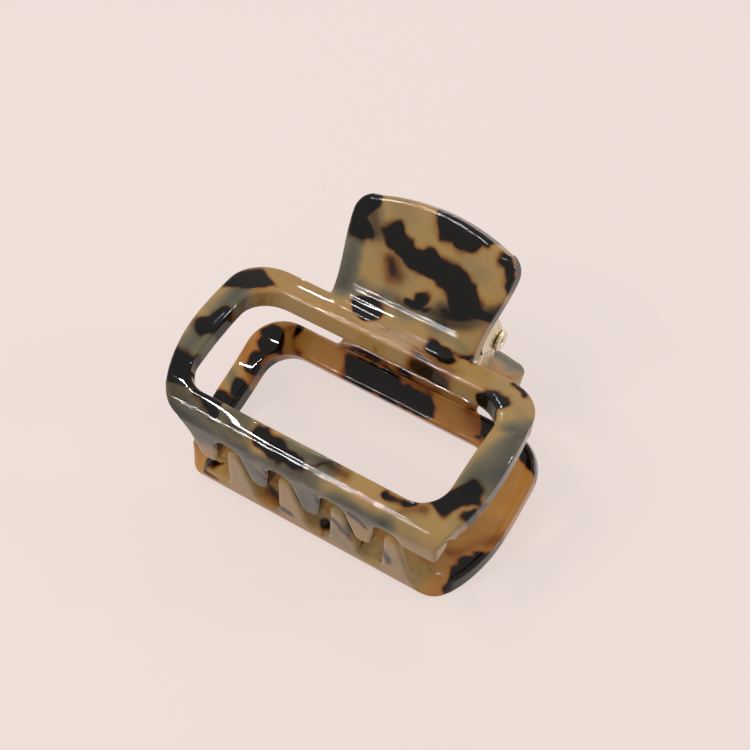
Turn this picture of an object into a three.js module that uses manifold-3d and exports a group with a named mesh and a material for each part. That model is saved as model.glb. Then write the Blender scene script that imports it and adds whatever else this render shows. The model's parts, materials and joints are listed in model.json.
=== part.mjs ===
// Claw clip: two arched acetate jaws, a two-leaf steel hinge, its tubular pin and its spring.
// Millimetres. X runs along the hinge, the teeth point to -Y, the finger tabs to +Y, +Z is up.
import * as THREE from 'three';
import { mergeVertices } from 'three/addons/utils/BufferGeometryUtils.js';
import Module from 'manifold-3d';

const wasm = await Module();
wasm.setup();

// ---- driving dimensions ----
const SHEET = 4.5;                // thickness of the acetate sheet
const FRAME_ROOT = [-1.95, 9.78]; // y, z of the frame's back edge on the outer face
const TAB_ROOT = [-0.37, 9.96];   // y, z where the outer face of the tab starts
const ARCH_RISE = 24.9;           // slope of the frame at the fold, degrees
const ARCH_FALL = -10.74;         // slope of the frame at the front, degrees: the clip rests on this flat
const ARCH_LENGTH = 34.2;         // arc length of the curved part of the frame
const FRAME_LENGTH = 35.8;        // along the face, fold to the front bend
const FRAME_HALF_WIDTH = 32.3;
const BACK_CORNER = 8.5;
const FRONT_CORNER_ACROSS = 11.1;
const FRONT_CORNER_ALONG = 22.7;
const FRONT_CORNER_START = 18.2;
const FULL_CORNER = 1.6;          // how far the controls of the fuller front corner stand outside the side
const FULL_CORNER_END = 30.0;     // x of its end on the front
const LOBE_BOTTOM = 6;            // z of the lobe under the fuller corner
const BEND_RADIUS = 2.55;         // outside of the bend down to the teeth
const JAW_SHIFT = -0.45;          // each jaw sits this far along its own X from the middle of the hinge
const WINDOW_BACK = 6.2;
const WINDOW_FRONT = 32.4;
const WINDOW_HALF_WIDTH = 27.0;
const WINDOW_BACK_CORNER = 6.5;
const WINDOW_FRONT_CORNER = 5;
const BROAD_BAR = 2.2;            // extra width of the lower jaw's side bar, inwards
const BROAD_BAR_CORNER = 11;      // and the radius of its window corner
const BROAD_FRONT = 2.9;          // extra width of the lower jaw's front bar, inwards
const TAB_ROOT_SLOPE = 43.1;      // degrees
const TAB_TIP_SLOPE = 38.1;       // degrees
const TAB_LENGTH = 18.8;          // along the face, fold to the corners of the tip
const TAB_ROOT_HALF_WIDTH = 15.4;
const TAB_HALF_WIDTH = 17.1;
const TAB_CORNER = 4.2;
const TAB_CORNER_CENTRE = 14.9;   // along the face from the fold
const TAB_TIP = 21.1;             // along the face, fold to the middle of the arched tip
const TAB_TIP_RADIUS = 42.5;
const FOLD_FILLET = 2.2;          // length of each leg of the hollow at the fold
const TOOTH_PITCH = 11.2;
const FIRST_TOOTH = -19.6;        // x of the first tooth's middle
const TOOTH_COUNT = 4;
const UPPER_TOOTH_TIP = -1.5;     // z of the tips in each jaw's own frame: the two combs overlap,
const LOWER_TOOTH_TIP = -6.3;     // the lower one reaching further
const UPPER_TIP_HALF_WIDTH = 1.9;
const LOWER_TIP_HALF_WIDTH = 1.6;
const TOOTH_TIP_CORNER = 1.5;
const TOOTH_EDGE = 1.4;           // rounding of the tips across the sheet
const SLOT_TOP = 8.9;             // z of the slots' rounded ends
const SLOT_RADIUS = 2.5;
const GAP = 0.3;                  // between pieces that touch on the real clip
const CUT_MARGIN = 3;             // how far the cutting blocks stand clear of the sheet
const TAB_OVERRUN = 1;            // the side view runs this far past the tab's tip, to be cut there
const APRON = 9;                  // and the frame's pattern this far past the bend

const AXIS_Y = 9.2;               // hinge axis, halfway between the jaws
const PIN_RADIUS = 1.1;
const PIN_BORE = 0.65;
const PIN_HEAD_RADIUS = 2.1;
const PIN_HEAD = 0.5;
const LEAF_SHEET = 0.8;
const LEAF_START = -2.2;          // along the tab's inner face from the fold
const LEAF_END = 7.5;
const EAR_OUTER = 14.4;           // x of the outside of the outer ear
const EAR_STEP = 1.2;             // the other leaf's ear sits this much further in
const EYE_RADIUS = 2.1;
const EYE_BORE = 1.2;
const RIVET_RADIUS = 1.1;
const RIVET_HEAD_RADIUS = 2;
const RIVET_HEAD = 0.7;
const RIVET_X = 8.5;
const RIVET_ALONG = 3.6;          // along the tab's inner face
const RIVET_DEPTH = 2.6;
const COIL_RADIUS = 2;            // to the middle of the wire
const WIRE_RADIUS = 0.45;
const COIL_TURNS = 8;
const COIL_PITCH = 1.25;
const COIL_STEPS = 14;            // per turn
const LEG_FOOT = 5.5;             // along the tab's inner face, where a leg reaches the leaf
const LEG_TIP = 10.5;

const RAD = Math.PI / 180;

// ---- helpers ----
function toSolid(geometry) {
  const bare = geometry.clone();
  bare.deleteAttribute('normal');
  bare.deleteAttribute('uv');
  const merged = mergeVertices(bare, 1e-4);
  const mesh = new wasm.Mesh({
    numProp: 3,
    vertProperties: new Float32Array(merged.attributes.position.array),
    triVerts: new Uint32Array(merged.index.array),
  });
  return new wasm.Manifold(mesh);
}

function toGeometry(solid) {
  const mesh = solid.getMesh();
  const indexed = new THREE.BufferGeometry();
  indexed.setAttribute('position', new THREE.BufferAttribute(new Float32Array(mesh.vertProperties), 3));
  indexed.setIndex(new THREE.BufferAttribute(new Uint32Array(mesh.triVerts), 1));
  const flat = indexed.toNonIndexed();
  flat.computeVertexNormals();
  return flat;
}

function shapeOf(points) {
  return new THREE.Shape(points.map(([u, v]) => new THREE.Vector2(u, v)));
}

// Shape in (y, z), extruded along X from x0 to x1.
function extrudeAcross(shape, x0, x1) {
  const depth = x1 - x0;
  const geometry = new THREE.ExtrudeGeometry(shape, { depth, bevelEnabled: false, curveSegments: 10 });
  const basis = new THREE.Matrix4().makeBasis(
    new THREE.Vector3(0, 1, 0),
    new THREE.Vector3(0, 0, 1),
    new THREE.Vector3(1, 0, 0),
  );
  geometry.applyMatrix4(basis);
  geometry.translate(x0, 0, 0);
  return geometry;
}

// Shape in (x, z), extruded along Y from y0 to y1.
function extrudeForward(shape, y0, y1) {
  const depth = y1 - y0;
  const geometry = new THREE.ExtrudeGeometry(shape, { depth, bevelEnabled: false, curveSegments: 8 });
  geometry.rotateX(Math.PI / 2);
  geometry.translate(0, y1, 0);
  return geometry;
}

// A sheet seen from the side: it leaves its root towards way*Y and its slope runs evenly from a0 to a1.
// Returns the (y, z) of the point at length s along the outer face and depth d below it.
function archedSheet(root, way, a0, a1, length) {
  const radius = length / ((a0 - a1) * RAD);
  return (s, d) => {
    const turned = Math.min(Math.max(s, 0), length);
    const a = (a0 - (a0 - a1) * turned / length) * RAD;
    const straight = s - turned;
    const y = root[0] - way * radius * (Math.sin(a) - Math.sin(a0 * RAD)) + way * straight * Math.cos(a);
    const z = root[1] + radius * (Math.cos(a) - Math.cos(a0 * RAD)) + straight * Math.sin(a);
    return [y + way * d * Math.sin(a), z - d * Math.cos(a)];
  };
}

const frameSheet = archedSheet(FRAME_ROOT, -1, ARCH_RISE, ARCH_FALL, ARCH_LENGTH);
const tabSheet = archedSheet(TAB_ROOT, 1, TAB_ROOT_SLOPE, TAB_TIP_SLOPE, TAB_LENGTH);

// Past the bend, length along the face turns into depth down the teeth: this gives what is left forwards.
function forwardOf(s) {
  const past = s - FRAME_LENGTH;
  if (past <= 0) {
    return s;
  }
  const quarter = BEND_RADIUS * Math.PI / 2;
  const round = BEND_RADIUS * Math.sin(Math.min(past, quarter) / BEND_RADIUS);
  return FRAME_LENGTH + round + Math.max(past - quarter, 0);
}

// Straight stretches of an outline, cut into steps no longer than the given one.
function stepped(points, step) {
  const result = [];
  points.forEach((a, i) => {
    const b = points[(i + 1) % points.length];
    const parts = Math.max(1, Math.ceil(a.distanceTo(b) / step));
    for (let k = 0; k < parts; k += 1) {
      result.push(a.clone().lerp(b, k / parts));
    }
  });
  return result;
}

// Block standing square to a sheet: an outline in (x, length along the sheet) from depth d0 to depth d1.
function sheetBlock(shape, sheet, d0, d1) {
  const outline = stepped(shape.getPoints(12).slice(0, -1), 2);
  if (THREE.ShapeUtils.isClockWise(outline)) {
    outline.reverse();
  }
  const position = [];
  [d0, d1].forEach((d) => {
    outline.forEach((p) => position.push(p.x, ...sheet(p.y, d)));
  });
  const n = outline.length;
  const index = [];
  THREE.ShapeUtils.triangulateShape(outline, []).forEach(([a, b, c]) => {
    index.push(a, b, c, c + n, b + n, a + n);
  });
  for (let i = 0; i < n; i += 1) {
    const j = (i + 1) % n;
    index.push(i, i + n, j, j, i + n, j + n);
  }
  const geometry = new THREE.BufferGeometry();
  geometry.setAttribute('position', new THREE.BufferAttribute(new Float32Array(position), 3));
  geometry.setIndex(index);
  return geometry;
}

// The solid of a block, whichever way round its sheet runs.
function blockSolid(geometry) {
  const solid = toSolid(geometry);
  if (solid.volume() > 0) {
    return solid;
  }
  geometry.setIndex(Array.from(geometry.index.array).reverse());
  return toSolid(geometry);
}

// ---- jaw ----
const FRONT_Y = frameSheet(FRAME_LENGTH, BEND_RADIUS)[0] - BEND_RADIUS;   // outer face of the teeth
const BACK_OF_TEETH = FRONT_Y + SHEET;

// Rounded turn from the tab into the frame at depth d, starting and ending the given length from their roots.
function foldCurve(leg, d) {
  const from = new THREE.Vector2(...tabSheet(leg, d));
  const to = new THREE.Vector2(...frameSheet(leg, d));
  const tabSlope = Math.tan(TAB_ROOT_SLOPE * RAD);
  const frameSlope = -Math.tan(ARCH_RISE * RAD);
  const y = (to.y - from.y + tabSlope * from.x - frameSlope * to.x) / (tabSlope - frameSlope);
  const corner = new THREE.Vector2(y, from.y + tabSlope * (y - from.x));
  return new THREE.QuadraticBezierCurve(from, corner, to).getPoints(8).map((p) => [p.x, p.y]);
}

// The whole sheet seen from the side: tab, fold, arched frame, bend and teeth.
function sideProfile(tip) {
  const outer = [];
  for (let k = 0; k <= 8; k += 1) {
    outer.push(tabSheet(TAB_TIP + TAB_OVERRUN - (TAB_TIP + TAB_OVERRUN - FOLD_FILLET) * k / 8, 0));
  }
  outer.push(...foldCurve(FOLD_FILLET, 0).slice(1));
  const frameSteps = 26;
  for (let k = 1; k <= frameSteps; k += 1) {
    outer.push(frameSheet(FOLD_FILLET + (ARCH_LENGTH - FOLD_FILLET) * k / frameSteps, 0));
  }
  const [bendY, bendZ] = frameSheet(FRAME_LENGTH, BEND_RADIUS);
  const bendSteps = 10;
  for (let k = 0; k <= bendSteps; k += 1) {
    const a = (90 - ARCH_FALL + (90 + ARCH_FALL) * k / bendSteps) * RAD;
    outer.push([bendY + BEND_RADIUS * Math.cos(a), bendZ + BEND_RADIUS * Math.sin(a)]);
  }
  const tips = [[FRONT_Y + TOOTH_EDGE, 180], [BACK_OF_TEETH - TOOTH_EDGE, 270]];
  tips.forEach(([y, from]) => {
    for (let k = 0; k <= 5; k += 1) {
      const a = (from + 18 * k) * RAD;
      outer.push([y + TOOTH_EDGE * Math.cos(a), tip + TOOTH_EDGE + TOOTH_EDGE * Math.sin(a)]);
    }
  });
  const inner = [];
  for (let k = 0; k < 8; k += 1) {
    inner.push(tabSheet((TAB_TIP + TAB_OVERRUN) * (8 - k) / 8, SHEET));
  }
  inner.push(...foldCurve(0, SHEET));
  for (let k = 1; k <= frameSteps; k += 1) {
    const p = frameSheet(ARCH_LENGTH * k / frameSteps, SHEET);
    if (p[0] > BACK_OF_TEETH) {
      inner.push(p);
    }
  }
  const slope = Math.tan(ARCH_FALL * RAD);
  const last = inner[inner.length - 1];
  inner.push([BACK_OF_TEETH, last[1] + (last[0] - BACK_OF_TEETH) * slope]);
  return shapeOf([...outer, ...inner.reverse()]);
}

// Flat pattern of the frame; the upper jaw is fuller at its front corner on +X.
function frameOutline(full) {
  const shape = new THREE.Shape();
  const side = FRAME_HALF_WIDTH;
  const bendEnd = FRAME_LENGTH + BEND_RADIUS * (90 + ARCH_FALL) * RAD;
  const frontAngle = Math.asin((bendEnd - FRONT_CORNER_START) / FRONT_CORNER_ALONG);
  const frontHalf = side - FRONT_CORNER_ACROSS * (1 - Math.cos(frontAngle));
  const apron = FRAME_LENGTH + APRON;
  shape.moveTo(-(side - BACK_CORNER), 0);
  shape.lineTo(side - BACK_CORNER, 0);
  shape.absarc(side - BACK_CORNER, BACK_CORNER, BACK_CORNER, -Math.PI / 2, 0, false);
  if (full) {
    const out = side + FULL_CORNER;
    const turnX = side - 0.8;
    const turn = FRAME_LENGTH - 2.8;
    shape.bezierCurveTo(out, 2 * BACK_CORNER, out, turn - 5, turnX, turn);
    shape.quadraticCurveTo((turnX + FULL_CORNER_END) / 2, turn + 4, FULL_CORNER_END, bendEnd);
    shape.lineTo(FULL_CORNER_END, apron);
  } else {
    shape.lineTo(side, FRONT_CORNER_START);
    shape.absellipse(side - FRONT_CORNER_ACROSS, FRONT_CORNER_START, FRONT_CORNER_ACROSS, FRONT_CORNER_ALONG,
      0, frontAngle, false, 0);
    shape.lineTo(frontHalf, apron);
  }
  shape.lineTo(-frontHalf, apron);
  shape.absellipse(-(side - FRONT_CORNER_ACROSS), FRONT_CORNER_START, FRONT_CORNER_ACROSS, FRONT_CORNER_ALONG,
    Math.PI - frontAngle, Math.PI, false, 0);
  shape.lineTo(-side, BACK_CORNER);
  shape.absarc(-(side - BACK_CORNER), BACK_CORNER, BACK_CORNER, Math.PI, Math.PI * 1.5, false);
  return shape;
}

// The opening; the lower jaw has a broader front bar, and a broader side bar and rounder corner on -X.
function windowOutline(broad) {
  const shape = new THREE.Shape();
  const side = WINDOW_HALF_WIDTH;
  const back = WINDOW_BACK_CORNER;
  const front = WINDOW_FRONT_CORNER;
  const left = broad ? side - BROAD_BAR : side;
  const leftFront = broad ? BROAD_BAR_CORNER : front;
  const end = broad ? WINDOW_FRONT - BROAD_FRONT : WINDOW_FRONT;
  shape.moveTo(-(left - back), WINDOW_BACK);
  shape.absarc(side - back, WINDOW_BACK + back, back, -Math.PI / 2, 0, false);
  shape.absarc(side - front, end - front, front, 0, Math.PI / 2, false);
  shape.absarc(-(left - leftFront), end - leftFront, leftFront, Math.PI / 2, Math.PI, false);
  shape.absarc(-(left - back), WINDOW_BACK + back, back, Math.PI, Math.PI * 1.5, false);
  return shape;
}

function tabOutline() {
  const shape = new THREE.Shape();
  const behind = -6;                // hidden in the frame
  const waist = TAB_CORNER_CENTRE / 2;
  const cornerX = TAB_HALF_WIDTH - TAB_CORNER;
  const tipCentre = TAB_TIP - TAB_TIP_RADIUS;
  const lean = Math.asin((cornerX + TAB_CORNER * 0.32) / TAB_TIP_RADIUS);
  shape.moveTo(-TAB_ROOT_HALF_WIDTH, behind);
  shape.lineTo(TAB_ROOT_HALF_WIDTH, behind);
  shape.lineTo(TAB_ROOT_HALF_WIDTH, 0);
  shape.bezierCurveTo(TAB_ROOT_HALF_WIDTH, waist, TAB_HALF_WIDTH, waist, TAB_HALF_WIDTH, TAB_CORNER_CENTRE);
  shape.absarc(cornerX, TAB_CORNER_CENTRE, TAB_CORNER, 0, Math.PI / 2 - lean, false);
  shape.absarc(0, tipCentre, TAB_TIP_RADIUS, Math.PI / 2 - lean, Math.PI / 2 + lean, false);
  shape.absarc(-cornerX, TAB_CORNER_CENTRE, TAB_CORNER, Math.PI / 2 + lean, Math.PI, false);
  shape.bezierCurveTo(-TAB_HALF_WIDTH, waist, -TAB_ROOT_HALF_WIDTH, waist, -TAB_ROOT_HALF_WIDTH, 0);
  return shape;
}

// Front view of the teeth, (x, z): four rounded fingers under a strip that ends inside the bend.
// Under the fuller corner the strip comes down again in a lobe.
function toothOutline(full, tip, halfWidth) {
  const shape = new THREE.Shape();
  const top = SLOT_TOP + 1.2;                              // inside the bend
  const end = FRAME_HALF_WIDTH - FRONT_CORNER_ACROSS + 3.6; // where the corner's curve meets the front
  const slotZ = SLOT_TOP - SLOT_RADIUS;
  const cornerX = halfWidth - TOOTH_TIP_CORNER;
  const cornerZ = tip + TOOTH_TIP_CORNER;
  const firstFlank = FIRST_TOOTH - TOOTH_PITCH / 2 + SLOT_RADIUS;
  shape.moveTo(-end, top);
  shape.lineTo(-end, SLOT_TOP + 0.4);
  shape.quadraticCurveTo(firstFlank, SLOT_TOP - 0.3, firstFlank, slotZ);
  for (let k = 0; k < TOOTH_COUNT; k += 1) {
    const x = FIRST_TOOTH + TOOTH_PITCH * k;
    shape.absarc(x - cornerX, cornerZ, TOOTH_TIP_CORNER, Math.PI, Math.PI * 1.5, false);
    shape.absarc(x + cornerX, cornerZ, TOOTH_TIP_CORNER, Math.PI * 1.5, Math.PI * 2, false);
    const slotX = x + TOOTH_PITCH / 2;
    const whole = full || k < TOOTH_COUNT - 1;
    shape.absarc(slotX, slotZ, SLOT_RADIUS, Math.PI, whole ? 0 : Math.PI / 2, true);
  }
  if (full) {
    const flank = FIRST_TOOTH + TOOTH_PITCH * (TOOTH_COUNT - 0.5) + SLOT_RADIUS;
    const ease = 1.6;
    shape.quadraticCurveTo(flank, LOBE_BOTTOM, flank + ease, LOBE_BOTTOM);
    shape.lineTo(FULL_CORNER_END - ease, LOBE_BOTTOM);
    const lobe = new THREE.Vector2(FULL_CORNER_END + ease / 2, LOBE_BOTTOM + 1.5 * ease);
    shape.quadraticCurveTo(FULL_CORNER_END, LOBE_BOTTOM, lobe.x, lobe.y);
    shape.lineTo(FRAME_HALF_WIDTH, top);
  } else {
    shape.lineTo(end, SLOT_TOP);
    shape.lineTo(end, top);
  }
  return shape;
}

// Turns geometry made along +Y so that it runs square out of the tab's inner face, base on that face.
function ontoTab(geometry, x, along, lift) {
  const [y, z] = tabSheet(along, SHEET + lift);
  const [outY, outZ] = tabSheet(along, SHEET + lift + 1);
  const turn = new THREE.Quaternion().setFromUnitVectors(
    new THREE.Vector3(0, 1, 0),
    new THREE.Vector3(0, outY - y, outZ - z).normalize(),
  );
  geometry.applyQuaternion(turn);
  geometry.translate(x, y, z);
  return geometry;
}

function rivetHole(x) {
  const radius = RIVET_RADIUS + GAP;
  const hole = new THREE.CylinderGeometry(radius, radius, 2 * (RIVET_DEPTH + GAP), 24);
  return toSolid(ontoTab(hole, x, RIVET_ALONG, 0));
}

// Room the teeth hang in: everything in front of the back of the teeth, below the slots' rounded ends.
function boxBelow(width, reach) {
  const height = 20;
  const box = new THREE.BoxGeometry(width, reach, height);
  return toSolid(box.translate(0, BACK_OF_TEETH + 0.2 - reach / 2, SLOT_TOP + 0.1 - height / 2));
}

function jawSolid({ tip, halfWidth, full, broad }) {
  const blockTo = SHEET + CUT_MARGIN;
  const reach = FRAME_HALF_WIDTH + FULL_CORNER;
  const side = toSolid(extrudeAcross(sideProfile(tip), -reach, reach));
  const frame = blockSolid(
    sheetBlock(frameOutline(full), (s, d) => frameSheet(forwardOf(s), d), -CUT_MARGIN, blockTo),
  );
  const opening = blockSolid(sheetBlock(windowOutline(broad), frameSheet, -CUT_MARGIN, blockTo));
  const tab = blockSolid(sheetBlock(tabOutline(), tabSheet, -CUT_MARGIN, blockTo));
  const teeth = toSolid(extrudeForward(toothOutline(full, tip, halfWidth), FRONT_Y - 2, BACK_OF_TEETH + 0.2));
  const below = boxBelow(3 * FRAME_HALF_WIDTH, blockTo + CUT_MARGIN);
  const plan = frame.add(boxBelow(2 * FULL_CORNER_END, blockTo + CUT_MARGIN));
  const trim = frame.subtract(below).add(tab).add(teeth.intersect(plan));
  const body = toSolid(toGeometry(side.intersect(trim).subtract(opening)).translate(JAW_SHIFT, 0, 0));
  return body.subtract(rivetHole(RIVET_X)).subtract(rivetHole(-RIVET_X));
}

// ---- hinge ----
// Angle, seen along the axis, at which a line from the point (y, z) touches the eye of an ear.
function touchAngle([y, z], turn) {
  return Math.atan2(z, y - AXIS_Y) + turn * Math.acos(EYE_RADIUS / Math.hypot(y - AXIS_Y, z));
}

// Ear seen from the side, (y, z): it tapers from the tab's inner face to a round eye on the axis.
function earShape() {
  const root = tabSheet(LEAF_START, SHEET + GAP + LEAF_SHEET / 2);
  const tip = tabSheet(LEAF_END, SHEET + GAP + LEAF_SHEET / 2);
  const shape = new THREE.Shape();
  shape.moveTo(...tip);
  shape.lineTo(...root);
  shape.absarc(AXIS_Y, 0, EYE_RADIUS, touchAngle(root, 1), touchAngle(tip, -1) + 2 * Math.PI, false);
  return shape;
}

function axisCylinder(radius, x0, x1) {
  const geometry = new THREE.CylinderGeometry(radius, radius, x1 - x0, 32);
  geometry.rotateZ(Math.PI / 2);
  geometry.translate((x0 + x1) / 2, AXIS_Y, 0);
  return geometry;
}

function leafSolid() {
  const inner = -EAR_OUTER + EAR_STEP;
  const plate = shapeOf([
    tabSheet(LEAF_START, SHEET + GAP),
    tabSheet(LEAF_START, SHEET + GAP + LEAF_SHEET),
    tabSheet(LEAF_END, SHEET + GAP + LEAF_SHEET),
    tabSheet(LEAF_END, SHEET + GAP),
  ]);
  let leaf = toSolid(extrudeAcross(plate, inner, EAR_OUTER));
  leaf = leaf.add(toSolid(extrudeAcross(earShape(), EAR_OUTER - LEAF_SHEET, EAR_OUTER)));
  leaf = leaf.add(toSolid(extrudeAcross(earShape(), inner, inner + LEAF_SHEET)));
  [-RIVET_X, RIVET_X].forEach((x) => {
    leaf = leaf.subtract(rivetHole(x));
  });
  return leaf.subtract(toSolid(axisCylinder(EYE_BORE, -EAR_OUTER - 1, EAR_OUTER + 1)));
}

// Domed head on the leaf and a shank in the jaw's blind hole.
function rivetGeometry(x) {
  const under = GAP + LEAF_SHEET + GAP;
  const profile = [
    [0, -RIVET_DEPTH], [RIVET_RADIUS, -RIVET_DEPTH],
    [RIVET_RADIUS, under], [RIVET_HEAD_RADIUS, under],
  ];
  for (let k = 1; k < 6; k += 1) {
    const a = 15 * k * RAD;
    profile.push([RIVET_HEAD_RADIUS * Math.cos(a), under + RIVET_HEAD * Math.sin(a)]);
  }
  profile.push([0, under + RIVET_HEAD]);
  const lathe = new THREE.LatheGeometry(profile.map(([r, h]) => new THREE.Vector2(r, h)), 20);
  return ontoTab(lathe, x, RIVET_ALONG, 0);
}

// Hollow pin, headed over at both ends outside the ears.
function pinGeometry() {
  const shank = EAR_OUTER + GAP;
  const end = shank + PIN_HEAD;
  const profile = [
    [PIN_BORE, -end], [PIN_HEAD_RADIUS, -end], [PIN_HEAD_RADIUS, -shank], [PIN_RADIUS, -shank],
    [PIN_RADIUS, shank], [PIN_HEAD_RADIUS, shank], [PIN_HEAD_RADIUS, end], [PIN_BORE, end], [PIN_BORE, -end],
  ];
  const lathe = new THREE.LatheGeometry(profile.map(([r, h]) => new THREE.Vector2(r, h)), 32);
  lathe.rotateZ(Math.PI / 2);
  lathe.translate(0, AXIS_Y, 0);
  return lathe;
}

// Middle line of the spring: a leg along the lower leaf, the coil round the pin, a leg along the upper leaf.
function springPath() {
  const lift = SHEET + 2 * GAP + LEAF_SHEET + WIRE_RADIUS;
  const [footY, footZ] = tabSheet(LEG_FOOT, lift);
  const [tipY, tipZ] = tabSheet(LEG_TIP, lift);
  const reach = Math.hypot(footY - AXIS_Y, footZ);
  const start = Math.atan2(footZ, footY - AXIS_Y) - Math.acos(COIL_RADIUS / reach);
  const turns = COIL_TURNS + start / Math.PI;
  const half = COIL_PITCH * turns / 2;
  const onCoil = (t) => {
    const a = -start + 2 * Math.PI * turns * t;
    const across = COIL_RADIUS * Math.cos(a);
    return new THREE.Vector3(-half + 2 * half * t, AXIS_Y + across, COIL_RADIUS * Math.sin(a));
  };
  const upperLeg = [];
  const from = onCoil(1);
  const foot = new THREE.Vector3(half, footY, footZ);
  const tip = new THREE.Vector3(half, tipY, tipZ);
  for (let k = 1; k <= 5; k += 1) {
    upperLeg.push(from.clone().lerp(foot, 0.95 * k / 5));
  }
  for (let k = 1; k <= 3; k += 1) {
    upperLeg.push(foot.clone().lerp(tip, k / 3));
  }
  const lowerLeg = upperLeg.map((p) => new THREE.Vector3(-p.x, p.y, -p.z)).reverse();
  const coil = [];
  const steps = Math.round(turns * COIL_STEPS);
  for (let k = 0; k <= steps; k += 1) {
    coil.push(onCoil(k / steps));
  }
  return new THREE.CatmullRomCurve3([...lowerLeg, ...coil, ...upperLeg], false, 'centripetal');
}

function springGeometry() {
  const path = springPath();
  const wire = new THREE.Shape();
  wire.absarc(0, 0, WIRE_RADIUS, 0, 2 * Math.PI, false);
  return new THREE.ExtrudeGeometry(wire, {
    steps: Math.round((path.points.length - 1) * 1.2),
    curveSegments: 4,
    extrudePath: path,
    bevelEnabled: false,
  });
}

// ---- finishes ----
function finish(color, roughness, metalness) {
  return new THREE.MeshStandardMaterial({ color, roughness, metalness });
}

function piece(name, geometry, material) {
  const mesh = new THREE.Mesh(geometry, material);
  mesh.name = name;
  return mesh;
}

// One jaw with its hinge leaf and two rivets. The metal of the two halves is the same.
function halfClip(side, shape) {
  const half = new THREE.Group();
  half.add(piece(`${side}_jaw`, toGeometry(jawSolid(shape)), finish(0x8f6e45, 0.2, 0)));
  half.add(piece(`${side}_hinge_leaf`, toGeometry(leafSolid()), finish(0xd9c8a4, 0.28, 1)));
  half.add(piece(`${side}_rivet_a`, rivetGeometry(-RIVET_X), finish(0xcdbb96, 0.3, 1)));
  half.add(piece(`${side}_rivet_b`, rivetGeometry(RIVET_X), finish(0xcdbb96, 0.3, 1)));
  return half;
}

const clip = new THREE.Group();
const upperHalf = halfClip('upper', { tip: UPPER_TOOTH_TIP, halfWidth: UPPER_TIP_HALF_WIDTH, full: true });
const lowerHalf = halfClip('lower', { tip: LOWER_TOOTH_TIP, halfWidth: LOWER_TIP_HALF_WIDTH, broad: true });
lowerHalf.rotation.y = Math.PI;
clip.add(upperHalf);
clip.add(lowerHalf);
clip.add(piece('hinge_pin', pinGeometry(), finish(0xd9c8a4, 0.25, 1)));
clip.add(piece('torsion_spring', springGeometry(), finish(0xb9b6ae, 0.3, 1)));

// The clip lies on its lower jaw: the flat at the front of the frame and the tip of the tab touch the table.
clip.rotation.x = -ARCH_FALL * RAD;
const stand = new THREE.Group();
stand.add(clip);
stand.updateMatrixWorld(true);
const bounds = new THREE.Box3().setFromObject(clip, true);
clip.position.set(0, -(bounds.min.y + bounds.max.y) / 2, -bounds.min.z);

export default stand;
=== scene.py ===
"""Claw clip in tortoiseshell acetate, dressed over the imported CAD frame. Metres in the row frame."""
import json
import math

import bmesh
import bpy
import numpy as np
from mathutils import Matrix, Vector, noise


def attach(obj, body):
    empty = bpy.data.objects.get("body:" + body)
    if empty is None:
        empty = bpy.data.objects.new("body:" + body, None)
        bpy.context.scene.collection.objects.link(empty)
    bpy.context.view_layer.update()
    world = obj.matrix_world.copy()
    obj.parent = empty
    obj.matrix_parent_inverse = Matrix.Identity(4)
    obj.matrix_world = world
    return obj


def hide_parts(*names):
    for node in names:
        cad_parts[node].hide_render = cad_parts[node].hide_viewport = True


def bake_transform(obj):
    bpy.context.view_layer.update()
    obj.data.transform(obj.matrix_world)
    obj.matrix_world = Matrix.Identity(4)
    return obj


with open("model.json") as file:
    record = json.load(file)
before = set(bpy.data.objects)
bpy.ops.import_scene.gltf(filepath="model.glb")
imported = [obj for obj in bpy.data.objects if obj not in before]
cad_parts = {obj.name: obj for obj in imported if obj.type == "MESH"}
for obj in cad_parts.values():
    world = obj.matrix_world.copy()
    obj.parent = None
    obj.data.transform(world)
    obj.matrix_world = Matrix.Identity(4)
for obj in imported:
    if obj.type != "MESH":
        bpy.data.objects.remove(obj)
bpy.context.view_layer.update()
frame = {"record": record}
HINGE = Vector(frame["record"]["behaviour"]["joints"][0]["pos_m"])

# The clip's own frame, in millimetres: X along the hinge, mid-plane at z = 0, before it is tilted to rest.
TILT = math.radians(10.74)
AXIS_Y = 9.2


def to_row(points):
    """Points of the clip's own frame, in millimetres, as metres in the row frame."""
    p = np.asarray(points, float)
    y, z = p[..., 1] - AXIS_Y, p[..., 2]
    c, s = math.cos(TILT), math.sin(TILT)
    back, up = (c * y - s * z) / 1000, (s * y + c * z) / 1000
    return np.stack([p[..., 0] / 1000, back + HINGE.y, up + HINGE.z], -1)


# ---- camera ----
def add_camera():
    # fitted to the clip's outline in the photo by a scratch program, in degrees and millimetres
    az, el, roll = math.radians(-38.86), math.radians(59.45), math.radians(-8.18)
    target, distance, focal_px = np.array([-2.12, -8.96, 0.0]), 307.6, 1624.0
    forward = np.array([math.sin(az) * math.cos(el), math.cos(az) * math.cos(el), -math.sin(el)])
    right = np.array([math.cos(az), -math.sin(az), 0.0])
    up = np.cross(right, forward)
    right, up = math.cos(roll) * right + math.sin(roll) * up, -math.sin(roll) * right + math.cos(roll) * up
    at = target - forward * distance
    origin = to_row([[0, 0, 0]])[0]
    cols = [(to_row([v])[0] - origin) * 1000 for v in (right, up, -forward)]
    data = bpy.data.cameras.new("camera")
    data.sensor_width = 36
    data.lens = focal_px / 750 * 36
    data.clip_start, data.clip_end = 0.01, 10
    camera = bpy.data.objects.new("camera", data)
    bpy.context.scene.collection.objects.link(camera)
    matrix = Matrix.Identity(4)
    for k, col in enumerate(cols):
        matrix.col[k][:3] = Vector(col).normalized()
    matrix.col[3][:3] = Vector(to_row([at])[0])
    camera.matrix_world = matrix
    bpy.context.scene.camera = camera


add_camera()

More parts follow.
